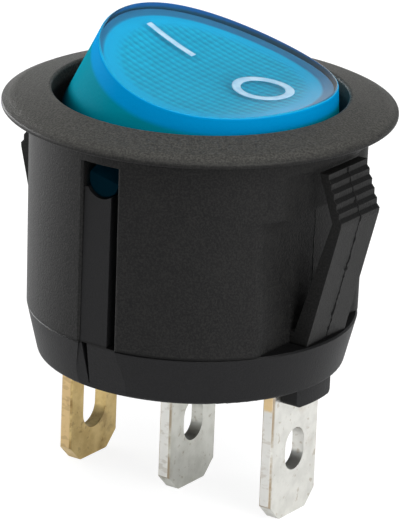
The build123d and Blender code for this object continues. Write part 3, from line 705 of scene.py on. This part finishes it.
white_print = print_material()
along = np.linspace(*LINE_X, 48)
across = MARK_Y + np.linspace(-LINE_HALF_W, LINE_HALF_W, 6)
printed("mark_line", *np.meshgrid(along, across, indexing="ij"))
turn, reach = np.meshgrid(np.linspace(0, 2 * np.pi, 96, endpoint=False), np.linspace(*RING_R, 7))
ring_x = RING_MIDDLE[0] + reach * np.cos(turn)
ring_y = RING_MIDDLE[1] + reach * np.sin(turn)
printed("mark_ring", ring_x, ring_y, wrap=True)

# %% [markdown]
# ## Lamp
# The neon lamp is a clear glass bulb on a glass bead, with a lacquered resistor in its lead. The
# resistor's colour bands are drawn by distance along its length, which runs with the level rocker's X.

# %% Lamp glass, resistor and sleeve
BANDS = ((-1.9, (150, 60, 40)), (-2.6, (70, 60, 50)), (-3.3, (190, 150, 40)))  # middle in mm, and colour
BAND_HALF_W = 0.14 * MM
BAND_FADE = 0.04 * MM


def lamp_glass():
    """Clear glass with the faint ripple of a drawn bulb."""
    draw = Drawing("lamp_glass")
    normal = draw.bump(draw.noise(900, 2.0, 0.5), 0.01 * MM)
    glass = draw.principled(
        Base_Color=(0.93, 0.96, 0.96), Roughness=0.02, IOR=1.5, Transmission_Weight=1.0, Normal=normal
    )
    return draw.finish(lamps_through(draw, glass, (0.92, 0.95, 0.95)))


def resistor_lacquer():
    """Lacquer with bands where |x - middle| is under half a band's width."""
    draw = Drawing("resistor_lacquer")
    x, _, _ = level_place(draw)
    tone = draw.blend(draw.noise(1200, 2.0, 0.5), srgb(206, 176, 128), srgb(192, 160, 112))
    for middle, colour in BANDS:
        away = draw.math("ABSOLUTE", x - middle * MM)
        band = draw.between(away, BAND_HALF_W + BAND_FADE, BAND_HALF_W)
        tone = draw.blend(band, tone, srgb(*colour))
    return draw.finish(draw.principled(Base_Color=tone, Roughness=0.3, Coat_Weight=0.4))


dress(lamp_glass(), "lamp_bulb", "lamp_bead")
dress(resistor_lacquer(), "resistor")
dress(nylon("cream_sleeve", srgb(220, 212, 190), srgb(206, 198, 176), 0.004, 0.45), "lead_sleeve")

# %% [markdown]
# ## Mould lines
# Where the halves of the mould meet, the nylon keeps a hair-fine broken ridge. One runs down the middle
# of each latch, and a finer one down the wall of the recess behind it. Rays from outside find the latch's
# surface at each height, and a small three-sided profile is carried along those points, wandering a
# little from the middle and swelling and thinning as the real line does. The other side of the switch is
# the same after a half turn.

# %% A ridge along a path
OUTSIDE_X = 0.02       # the rays start here, clear of the switch
WANDER = 0.08 * MM     # how far a line strays from its middle


def surface_x(name, heights):
    """The outermost x of a node on the plane y = 0 at each height, and nan where there is none."""
    mesh = nodes[name].data
    corners = [tuple(vertex.co) for vertex in mesh.vertices]
    tree = BVHTree.FromPolygons(corners, [tuple(polygon.vertices) for polygon in mesh.polygons])
    inwards = Vector((-1, 0, 0))
    hits = [tree.ray_cast(Vector((OUTSIDE_X, 0, height)), inwards)[0] for height in heights]
    return np.array([np.nan if hit is None else hit.x for hit in hits])


def smoothed(values, width):
    """The mean of each run of so many values."""
    return np.convolve(values, np.ones(width) / width, "valid")


def ridge(path, width, height, seed):
    """A closed three-sided thread along a path of points in the XZ plane: width across Y, height away
    from the body. Its middle wanders by smoothed random steps, and both sizes are scaled along it by
    0.45 + 1.2 |smoothed random|."""
    rng = np.random.default_rng(seed)
    count = len(path)
    wander = smoothed(rng.normal(0, 1, count + 8), 9) * WANDER
    swell = 0.45 + 1.2 * np.abs(smoothed(rng.normal(0, 1, count + 4), 5))
    step = np.gradient(path, axis=0)
    out = np.stack([-step[:, 2], np.zeros(count), step[:, 0]], -1)
    out /= np.linalg.norm(out, axis=1)[:, None]
    out *= np.sign(out[:, :1]) * np.sign(path[:, :1])
    middle = path + np.array([0, 1, 0]) * wander[:, None]
    across = np.array([0, 1, 0]) * (width / 2 * swell)[:, None]
    sunk = middle - out * height * 0.3
    points = np.stack([sunk - across, middle + out * (height * swell)[:, None], sunk + across], 1)
    ends = [[0, 1, 2], [3 * count - 1, 3 * count - 2, 3 * count - 3]]
    return points, quads(count, 3, wrap=True).tolist() + ends


# %% Lines on the latches and behind them
LATCH_LINE_Z = np.linspace(-1.35, -11.85, 240) * MM  # from the latch's tip to its root
RECESS_LINE_Z = np.linspace(-4.4, -10.2, 90) * MM    # down the recess wall
RECESS_X = 8.17 * MM
RECESS_LINE_Y = 0.1 * MM
LINE_RISE = 0.2                                      # how high a line stands for its width

latch_x = surface_x("housing", LATCH_LINE_Z)
latch_path = np.stack([latch_x, np.zeros_like(latch_x), LATCH_LINE_Z], -1)[~np.isnan(latch_x)]
recess_path = np.stack(np.broadcast_arrays(RECESS_X, RECESS_LINE_Y, RECESS_LINE_Z), -1)
line_black = nylon("nylon_line", NEAR_BLACK, srgb(12, 12, 12), 0.004, 0.7)
threads = {"latch": (latch_path, 0.22 * MM, 4), "recess": (recess_path, 0.08 * MM, 9)}
for place, (path, width, seed) in threads.items():
    points, cells = ridge(path, width, LINE_RISE * width, seed)
    for end, side in (("front", 1), ("back", -1)):
        half_turn = points * np.array([side, side, 1])
        name = f"mould_line_{place}_{end}"
        make_piece(name, half_turn, cells, line_black, "switch_body", smooth=False)

# %% [markdown]
# ## Floor
# The switch stands on its tabs on a white sheet that is also the background. To the camera, and in gloss
# and glass, the floor mostly glows by itself and takes only a part of its shading, so it is white with a
# soft shadow. To all other rays it is plain white paper, which lights the switch from below.

# %% White floor
FLOOR_SIZE = 3.0   # so wide that its edges never show


def white_floor():
    """Paper to most rays. To the camera it glows at 0.4 + 0.48 and is shaded at a fifth of white, and in
    gloss and glass it glows at 0.4 and is shaded at half."""
    draw = Drawing("floor_white")
    paper = draw.principled(Base_Color=(0.9, 0.9, 0.9), Roughness=0.9, Specular_IOR_Level=0.1)
    direct = draw.ray("Is Camera Ray")
    seen = draw.math("MAXIMUM", direct, draw.ray("Is Glossy Ray"))
    seen = draw.math("MAXIMUM", seen, draw.ray("Is Transmission Ray"))
    glow = draw.node("ShaderNodeEmission", None, {"Color": (1, 1, 1), "Strength": 0.4 + direct * 0.48})
    shade = draw.blend(direct, (0.5, 0.5, 0.5), (0.2, 0.2, 0.2))
    shaded = draw.node("ShaderNodeBsdfDiffuse", None, {"Color": shade})
    lit = draw.node("ShaderNodeAddShader", None, {0: glow, 1: shaded})
    return draw.finish(draw.mix(seen, paper, lit))


floor_z = cad_box[0][2]
half = FLOOR_SIZE / 2
corners = [(-half, -half, floor_z), (half, -half, floor_z), (half, half, floor_z), (-half, half, floor_z)]
floor_mesh = bpy.data.meshes.new("floor")
floor_mesh.from_pydata(corners, [], [(0, 1, 2, 3)])
floor_mesh.materials.append(white_floor())
floor = bpy.data.objects.new("floor", floor_mesh)
bpy.context.scene.collection.objects.link(floor)

# %% [markdown]
# ## Surroundings
# The world gives a soft even light from all round. Shiny things are only as good as what they mirror, so
# gloss and glass see a white sheet behind the switch. It fades upwards and sideways, which puts the light
# band on the rocker's dish and leaves the bezel dark.

# %% World
SHEET_AWAY = (-0.56, 0.83)   # the sheet stands in this direction, in x and y


class Surroundings(Drawing):
    """The world's nodes, drawn with the same helpers."""

    def __init__(self, world):
        self.material = world
        self.tree = world.node_tree
        self.tree.nodes.clear()
        self.output = self.tree.nodes.new("ShaderNodeOutputWorld")
        self.place = self.node("ShaderNodeTexCoord", out="Generated")


def white_studio(world):
    """White to the camera, a fading white sheet to gloss and glass, soft grey-blue to all other rays. The
    sheet is the share of the way behind the switch, less what it loses between a height of 0.1 and 0.42."""
    draw = Surroundings(world)
    x, y, z = draw.split()
    behind = draw.between(x * SHEET_AWAY[0] + y * SHEET_AWAY[1], -0.45, 0.5)
    sheet = behind * (1 - draw.between(z, 0.1, 0.42))
    shiny = draw.math("MAXIMUM", draw.ray("Is Glossy Ray"), draw.ray("Is Transmission Ray"))
    seen = draw.math("MAXIMUM", draw.ray("Is Camera Ray"), shiny * sheet)
    white = draw.node("ShaderNodeBackground", None, {"Color": (1.0, 1.0, 1.0), "Strength": 1.0})
    soft = draw.node("ShaderNodeBackground", None, {"Color": (0.92, 0.96, 1.0), "Strength": 0.24})
    draw.finish(draw.mix(seen, soft, white))


world = bpy.data.worlds.new("studio")
world.use_nodes = True
bpy.context.scene.world = world
white_studio(world)

# %% [markdown]
# ## Lamps
# Three wide soft lamps light the switch, as in a small studio. The one above lights the bezel, a low one
# on the left draws the light edge down the barrel, and one on the right brightens the tabs.

# %% Softboxes
AIM = Vector((0, 0, -0.005))   # the middle of the barrel


def softbox(name, place, width, height, watts):
    """A rectangular lamp whose face looks at the barrel."""
    lamp = bpy.data.lights.new(name, "AREA")
    lamp.shape = "RECTANGLE"
    lamp.size = width
    lamp.size_y = height
    lamp.energy = watts
    lit = bpy.data.objects.new(name, lamp)
    away = Vector(place) - AIM
    lit.matrix_world = Matrix.Translation(place) @ away.to_track_quat("Z", "Y").to_matrix().to_4x4()
    bpy.context.scene.collection.objects.link(lit)
    print(name, "lamp at", round(away.length, 3), "m")


softbox("top", (0.12, -0.1, 0.48), 0.5, 0.5, 2.3)
softbox("left", (-0.43, 0.01, 0.055), 0.45, 0.15, 2.8)
softbox("right", (0.47, -0.13, 0.24), 0.35, 0.5, 2.6)

# %% [markdown]
# ## Camera
# A long lens from the front right, a little above, slightly tipped. The matrix is written from its right,
# up and backward directions, which are the camera's own X, Y and Z.

# %% Camera
CAMERA_PLACE = (0.143099, -0.211757, 0.081160)
CAMERA_RIGHT = Vector((0.821158, 0.569477, 0.037355))
CAMERA_UP = Vector((-0.219218, 0.254313, 0.941949))

camera_data = bpy.data.cameras.new("camera")
camera_data.sensor_fit = "HORIZONTAL"
camera_data.sensor_width = 36
camera_data.lens = 416.4
camera_data.shift_x = 0.0036
camera_data.clip_start = 0.01
camera = bpy.data.objects.new("camera", camera_data)
turned = Matrix((CAMERA_RIGHT, CAMERA_UP, CAMERA_RIGHT.cross(CAMERA_UP))).transposed().to_4x4()
camera.matrix_world = Matrix.Translation(CAMERA_PLACE) @ turned
bpy.context.scene.collection.objects.link(camera)
bpy.context.scene.camera = camera
bpy.context.scene.view_settings.view_transform = "Standard"
